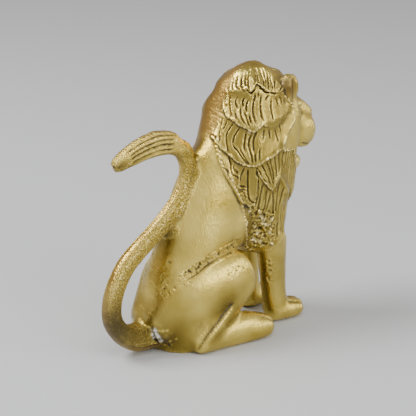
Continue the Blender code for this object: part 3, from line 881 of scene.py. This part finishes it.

# %% [markdown]
# The tail and the fold over the haunch are sandy. A coppery tint lies on the nape, the edge of the
# tail and the ear. Painted shade darkens the metal where shade and dark reflections fall, over the mane
# and at the places of a table.

# %% Sandy and coppery parts, and painted shade
TAIL_LINE = (
    # (forward, up) from the root to the tip of the tuft
    (7, 8), (1, 7), (-5, 6.6), (-11, 9.2), (-15, 15.4), (-15.1, 22.4), (-12.8, 29), (-9, 34.8), (-3.6, 39.4),
    (4.1, 44.8), (11.2, 50.8), (15.8, 56), (18.3, 61.5), (18.6, 67), (17, 71.6), (13.6, 74.9), (8.5, 76.6),
    (2.5, 76.8), (-4.7, 75), (-9.4, 72.9),
)
FOLD_LINE = ((34.4, 36.6), (27.6, 36.4), (21.3, 35.4), (16.7, 33.6), (12.6, 31), (9.1, 29))
SHADE_PATCHES = (
    # share, middle, reach: painted shade, where the brass is darkened to stand for shade and dark reflections
    # the root of the tail, the fold at the shin, the foreleg
    (1, (4, 8, 8), 13), (0.9, (22, 19, 17), 9), (0.55, (52, 9, 22), 13),
    # the foot of the nape, the rump, the flank, the back beside the tail
    (0.7, (24.8, 2, 72), 5), (0.5, (1.4, 7, 28.5), 6), (0.9, (42.5, 13, 41), 8), (0.8, (8.5, 1.5, 40), 6),
    # under the lip, the lowest bend of the tail, under the tip of the tuft, the hind foot
    (0.7, (70, 4, 66), 4), (1, (-15, 2, 13), 15), (0.8, (-11, 0, 72), 5), (0.9, (17, 18, 8), 6),
    # the low mane, the ear, the cheek
    (0.3, (52, 12, 40), 13), (1, (55, 12, 92), 6), (0.7, (61, 10, 77), 6),
)
from_side = spots[:, SIDE_VIEW]
turns = turns_of(spots)
on_ear = dent((55, 12, 92), spots, 5, 1)
tail_gap = nearest(smooth_run(TAIL_LINE), from_side)[0]
tail_side = inside(smooth_run(TAIL_LINE), from_side)
on_tail = ramp(tail_gap, 5.4, 4.2) * ramp(right, 5.4, 4.6)
on_tail *= 1 - ramp(-tail_side, 1.2, 2.6) * ramp(up, 42, 48) * ramp(forward, 9, 12)
outer_edge = ramp(tail_side, 2.2, 3.2) * ramp(up, 70, 66)
tuft_edge = 0.5 * ramp(-tail_side, 2.2, 3) * ramp(up, 74, 76)
tail_edge = on_tail * (outer_edge + tuft_edge)
in_fold = 0.5 * ramp(nearest(smooth_run(FOLD_LINE), from_side)[0], 2.2, 1.2) * ramp(right, 7, 9)
sandy = np.clip(on_tail * (1 - 0.6 * ramp(up, 72, 75)) + in_fold, 0, 1)
left = both_sides[:, RIGHT] < 0
neck = ramp(turns, np.where(left, 136, 164), np.where(left, 166, 180)) * mane_share(spots, NEAR_MANE)
# a coppery tint on the nape, the edge of the tail and the ear
coppery = np.clip(neck + 0.7 * tail_edge + 0.5 * on_ear, 0, 1)
# painted shade over the mane, weaker on the nape and the crown
painted_shade = 0.72 * mane_share(spots, 1) * (1 - 0.6 * np.maximum(neck, ramp(up, 95, 98)))
for share, middle, reach in SHADE_PATCHES:
    painted_shade = np.maximum(painted_shade, dent(middle, spots, reach, share))
print("sandy:", int((sandy > 0.5).sum()), "corners")

# %% [markdown]
# The lips of the locks and some beads get a painted highlight. A brown film lies in every hollow as
# patina. The same film is painted shade in the crease beside the tail, under the tuft, in the black pits
# and in four other places. All is stored with the piece.

# %% Painted highlights, film with painted shade, and braze
# painted shadow along the crease between tail and back
SHADOWED_CREASE = ((14, 4.6, 52.5), (12.2, 4.1, 49.1), (10.4, 3, 46.1), (9.3, 1.9, 43.4))  # between tail and back
SHADE_SPOTS = (
    # share, middle, reach of painted shade: behind the ear, at the tail's lowest bend, under the lip and the
    # tuft's tip
    (0.6, (53.2, 11.8, 94), 3), (0.7, (-16, 2, 14), 10), (0.5, (71, 5, 65.5), 3.2),
    (0.45, (-11.5, 0, 71.5), 4),
)
hem_lips = bell(off_body(spots) - LIP_UP, 0.4) * mane_share(spots) * ramp(forward, 46, 42)
hem_lips *= ramp(hem_wave(spots), -0.3, 0.7)
frame_lips = bell(off_face(spots) - LIP_UP, 0.4) * ramp(up, 92, 88) * ramp(frame_wave(spots), -0.3, 0.7)
lips = layer_rise(spots)[1] * mane_share(spots) * neck_strip(both_sides)
lips = np.maximum(np.maximum(lips, hem_lips), frame_lips)
# painted highlights: glints on the beads and on the lips of the locks
painted_glint = sum(dent(bead, both_sides, 0.55, 1) for bead in beads)
painted_glint = np.maximum(painted_glint, 0.9 * ramp(lips, 0.4, 0.9) * ramp(level, 0.02, 0.12))
skin.normal_update()
faces_down = np.array([-corner.normal.z for corner in skin.verts])
# the brown film: patina where the skin lies below its neighbours
film_and_shade = ramp(-level, 0.04, 0.22) * (1 - dent((10.5, 3, 46), spots, 5, 0.7))
# painted shadow in the crease beside the tail
film_and_shade = np.maximum(film_and_shade, 0.4 * ramp(nearest(SHADOWED_CREASE, spots)[0], 1, 0.3))
# painted shade on the undersides of the tail below the tuft
film_and_shade = np.maximum(film_and_shade, 0.5 * (ramp(faces_down, 0.1, 0.8) * on_tail * ramp(up, 66, 69)))
# painted shade in the black pits
film_and_shade = np.maximum(film_and_shade, sum(dent(middle, both_sides, 0.75, 1) for middle in black_pits))
# painted shade at the spots of the table
for share, middle, reach in SHADE_SPOTS:
    film_and_shade = np.maximum(film_and_shade, dent(middle, spots, reach, share))
solder = np.clip(sum(dent(spot, spots, 0.55, 1) for spot in solder_spots), 0, 1)
stored = {
    "film_and_shade": film_and_shade,
    "solder": solder,
    "ridge": ramp(level, 0.02, 0.2) * (1 - on_ear),
    "sandy": sandy * (1 - tail_edge),
    "coppery": coppery,
    "painted_glint": np.clip(painted_glint, 0, 1),
    "painted_shade": painted_shade,
}
lion = object_of(skin, "lion_skin")
for name, values in stored.items():
    lion.data.attributes.new(name, "FLOAT", "POINT").data.foreach_set("value", values.astype(np.float32))
lion.data.shade_smooth()
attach(lion, "root")
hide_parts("lion")
print("the lion has", len(lion.data.polygons), "triangles")

# %% [markdown]
# ## The brass
#
# Satin brass is a yellow metal with a soft gloss. Three patterns make it real: the grain of the sand
# mould, the fine scratches of the file, and a brown film that is thick in hollows and thin on ridges.
# That film is also painted shade in a few places. Painted shade darkens the metal where shade and dark
# reflections fall, painted highlights brighten glints and lips, and the drops of braze are grey.

# %% The finish
def add_node(tree, kind, inputs=None, **settings):
    """A node with its settings and the values of its named or numbered inputs."""
    node = tree.nodes.new(kind)
    for name, value in settings.items():
        setattr(node, name, value)
    for name, value in (inputs or {}).items():
        if isinstance(value, bpy.types.NodeSocket):
            tree.links.new(value, node.inputs[name])
        else:
            node.inputs[name].default_value = value
    return node


def stored_value(tree, name):
    """The value that the piece stores under this name."""
    return add_node(tree, "ShaderNodeAttribute", attribute_name=name).outputs["Fac"]


def blend_colours(tree, share, first, second):
    """The first colour where the share is 0 and the second where it is 1."""
    mix = add_node(tree, "ShaderNodeMix", {0: share, 6: first, 7: second}, data_type="RGBA")
    return mix.outputs[2]


def rescaled(tree, value, low, high, to_low=0.0, to_high=1.0):
    """The value stretched from low-high to another range and kept inside it."""
    inputs = {0: value, 1: low, 2: high, 3: to_low, 4: to_high}
    return add_node(tree, "ShaderNodeMapRange", inputs).outputs[0]


def maths(tree, operation, first, second):
    """A sum, product or the like of two values."""
    return add_node(tree, "ShaderNodeMath", {0: first, 1: second}, operation=operation).outputs[0]


def noise(tree, where, scale, detail, rough=0.5):
    """A cloudy pattern, from 0 to 1."""
    inputs = {"Vector": where, "Scale": scale, "Detail": detail, "Roughness": rough}
    return add_node(tree, "ShaderNodeTexNoise", inputs).outputs["Fac"]


def bumped(tree, height, strength, distance, **below):
    """The slopes of bumps of this height. Below, as Normal, are the slopes that they lie on."""
    inputs = {"Strength": strength, "Distance": distance, "Height": height, **below}
    return add_node(tree, "ShaderNodeBump", inputs).outputs[0]


POLISHED = (0.80, 0.62, 0.15, 1)
PLAIN = (0.52, 0.37, 0.055, 1)
# painted shade: brass darkened to stand for shade and dark reflections
SHADE_BROWN = (0.17, 0.115, 0.02, 1)
# patina in hollows, and painted shade where the same film stands for shade
FILM_AND_SHADE_BROWN = (0.042, 0.032, 0.012, 1)
# painted highlight: the colour of glints and lit lips
GLINT_GOLD = (0.97, 0.82, 0.4, 1)
SANDY = (0.52, 0.37, 0.05, 1)
SOLDER_GREY = (0.8, 0.8, 0.76, 1)
COPPERY = (0.38, 0.17, 0.065, 1)


def cast_brass():
    """Satin brass, sandy where the mould's grain was left and brown in its hollows, with painted shade and
    painted highlights.
    """
    material = bpy.data.materials.new("cast_brass")
    material.use_nodes = True
    tree = material.node_tree
    shader = tree.nodes["Principled BSDF"]
    where = add_node(tree, "ShaderNodeTexCoord").outputs["Object"]
    film_and_shade, solder, ridge, sandy, coppery, painted_glint, painted_shade = [stored_value(tree, name) for name in stored]
    grain = noise(tree, where, 1550, 3, 0.6)
    lumps = noise(tree, where, 500, 2)
    cloud = noise(tree, where, 70, 4)
    drawn_out = {"Vector": where, "Rotation": (0.6, 0.3, 0.2), "Scale": (1, 12, 1)}
    scratches = noise(tree, add_node(tree, "ShaderNodeMapping", drawn_out).outputs[0], 260, 3)
    # painted glints on the sand's grains, weaker where painted shade lies
    glints = maths(tree, "MULTIPLY", rescaled(tree, grain, 0.54, 0.62), sandy)
    glints = maths(tree, "MULTIPLY", glints, rescaled(tree, painted_shade, 0, 0.8, 0.7, 0.1))
    speckle = maths(tree, "MULTIPLY", rescaled(tree, grain, 0.48, 0.38), sandy)
    # the brown film: patina in hollows, painted shade in a few places, and dark grains of the sand
    dark_film_and_shade = maths(tree, "MAXIMUM", film_and_shade, maths(tree, "MULTIPLY", speckle, 0.6))
    coats = (
        (maths(tree, "MULTIPLY", sandy, 0.8), SANDY),
        # painted shade
        (painted_shade, SHADE_BROWN),
        (maths(tree, "MULTIPLY", ridge, 0.7), POLISHED),
        (maths(tree, "MULTIPLY", coppery, 0.42), COPPERY),
        # painted highlights
        (maths(tree, "MAXIMUM", painted_glint, glints), GLINT_GOLD),
        (solder, SOLDER_GREY),
        # patina and painted shade
        (dark_film_and_shade, FILM_AND_SHADE_BROWN),
    )
    colour = blend_colours(tree, rescaled(tree, cloud, 0.3, 0.6), PLAIN, POLISHED)
    for share, coat in coats:
        colour = blend_colours(tree, share, colour, coat)
    tree.links.new(maths(tree, "SUBTRACT", 1, maths(tree, "MULTIPLY", dark_film_and_shade, 0.7)), shader.inputs["Metallic"])
    tree.links.new(colour, shader.inputs["Base Color"])
    rough = rescaled(tree, cloud, 0.3, 0.7, 0.25, 0.35)
    rough = maths(tree, "ADD", rough, maths(tree, "MULTIPLY", sandy, 0.08))
    rough = maths(tree, "ADD", rough, maths(tree, "MULTIPLY", dark_film_and_shade, 0.25))
    # less rough on the painted glints and the worn ridges
    glints_and_ridges = maths(tree, "MAXIMUM", painted_glint, ridge)
    rough = maths(tree, "SUBTRACT", rough, maths(tree, "MULTIPLY", glints_and_ridges, 0.14))
    tree.links.new(rough, shader.inputs["Roughness"])
    slopes = bumped(tree, scratches, 0.45, 0.0003)
    slopes = bumped(tree, lumps, 0.25, 0.0004, Normal=slopes)
    sand = maths(tree, "MULTIPLY", grain, rescaled(tree, sandy, 0, 1, 0.06, 1))
    slopes = bumped(tree, sand, 1, 0.0016, Normal=slopes)
    tree.links.new(slopes, shader.inputs["Normal"])
    return material


lion.data.materials.append(cast_brass())
print("finished", lion.name, "with", lion.data.materials[0].name)

# %% [markdown]
# ## Floor, light and camera
#
# Metal shows what it reflects, so the light is four soft panels in a room. One stands high behind the
# left side, a large low window is on the right, a weak strip is in front of it and one hangs overhead.
# The walls go from a warm shade on the lion's left to white on its right. The floor is plain.

# %% Floor
def plain_floor():
    """A wide pale floor."""
    bm = bmesh.new()
    bmesh.ops.create_grid(bm, x_segments=1, y_segments=1, size=3)
    floor = object_of(bm, "floor")
    material = bpy.data.materials.new("pale_floor")
    material.use_nodes = True
    shader = material.node_tree.nodes["Principled BSDF"]
    shader.inputs["Base Color"].default_value = (0.48, 0.49, 0.5, 1)
    shader.inputs["Roughness"].default_value = 0.6
    floor.data.materials.append(material)
    return floor


print("floor", plain_floor().name)

# %% Camera
VIEW = (232, 20)  # the photo's angle round the lion and above level, in degrees
DISTANCE = 0.5
FOCUS = Vector((0, 0.00124, 0.0485))  # what the middle of the picture shows
LENS = 119


def towards(azimuth, elevation):
    """The direction from the lion to a viewer at this angle. An azimuth of 0 is in front of its face."""
    a, e = math.radians(azimuth), math.radians(elevation)
    return Vector((math.sin(a) * math.cos(e), -math.cos(a) * math.cos(e), math.sin(e)))


def aimed(made, direction, distance):
    """Puts a light or camera at this distance in this direction, aimed at the lion."""
    made.location = FOCUS + direction * distance
    made.rotation_euler = (-direction).to_track_quat("-Z", "Y").to_euler()
    bpy.context.scene.collection.objects.link(made)
    return made


lens = bpy.data.cameras.new("camera")
lens.lens = LENS
lens.clip_start = 0.01
bpy.context.scene.camera = aimed(bpy.data.objects.new("camera", lens), towards(*VIEW), DISTANCE)
print("camera at", tuple(bpy.context.scene.camera.location))

# %% Light
WARM_WALL = (0.5, 0.42, 0.36, 1)
WHITE_WALL = (1, 1, 1, 1)
CEILING = (0.4, 0.41, 0.42, 1)
PANELS = (
    # name, azimuth, elevation, distance, width, height, watts
    ("back_left", 145, 52, 0.8, 0.35, 0.35, 8),
    ("window", 285, 24, 0.8, 0.5, 0.35, 3.4),
    ("front_right", 340, 9, 0.8, 0.16, 0.3, 0.6),
    ("overhead", 236, 64, 0.8, 0.4, 0.3, 2),
)
for name, azimuth, elevation, distance, width, height, watts in PANELS:
    panel = bpy.data.lights.new(name, "AREA")
    panel.shape = "RECTANGLE"
    panel.size = width
    panel.size_y = height
    panel.energy = watts
    aimed(bpy.data.objects.new(name, panel), towards(azimuth, elevation), distance)
world = bpy.data.worlds.new("pale_room")
world.use_nodes = True
room = world.node_tree
seen = add_node(room, "ShaderNodeTexCoord").outputs["Generated"]
away = add_node(room, "ShaderNodeSeparateXYZ", {0: seen}).outputs
walls = blend_colours(room, rescaled(room, away["X"], 0.5, -0.4), WARM_WALL, WHITE_WALL)
shade = blend_colours(room, rescaled(room, away["Z"], 0.5, 1), walls, CEILING)
room.links.new(shade, room.nodes["Background"].inputs["Color"])
room.nodes["Background"].inputs["Strength"].default_value = 1
bpy.context.scene.world = world
print(len(PANELS), "panels of light and a pale room")
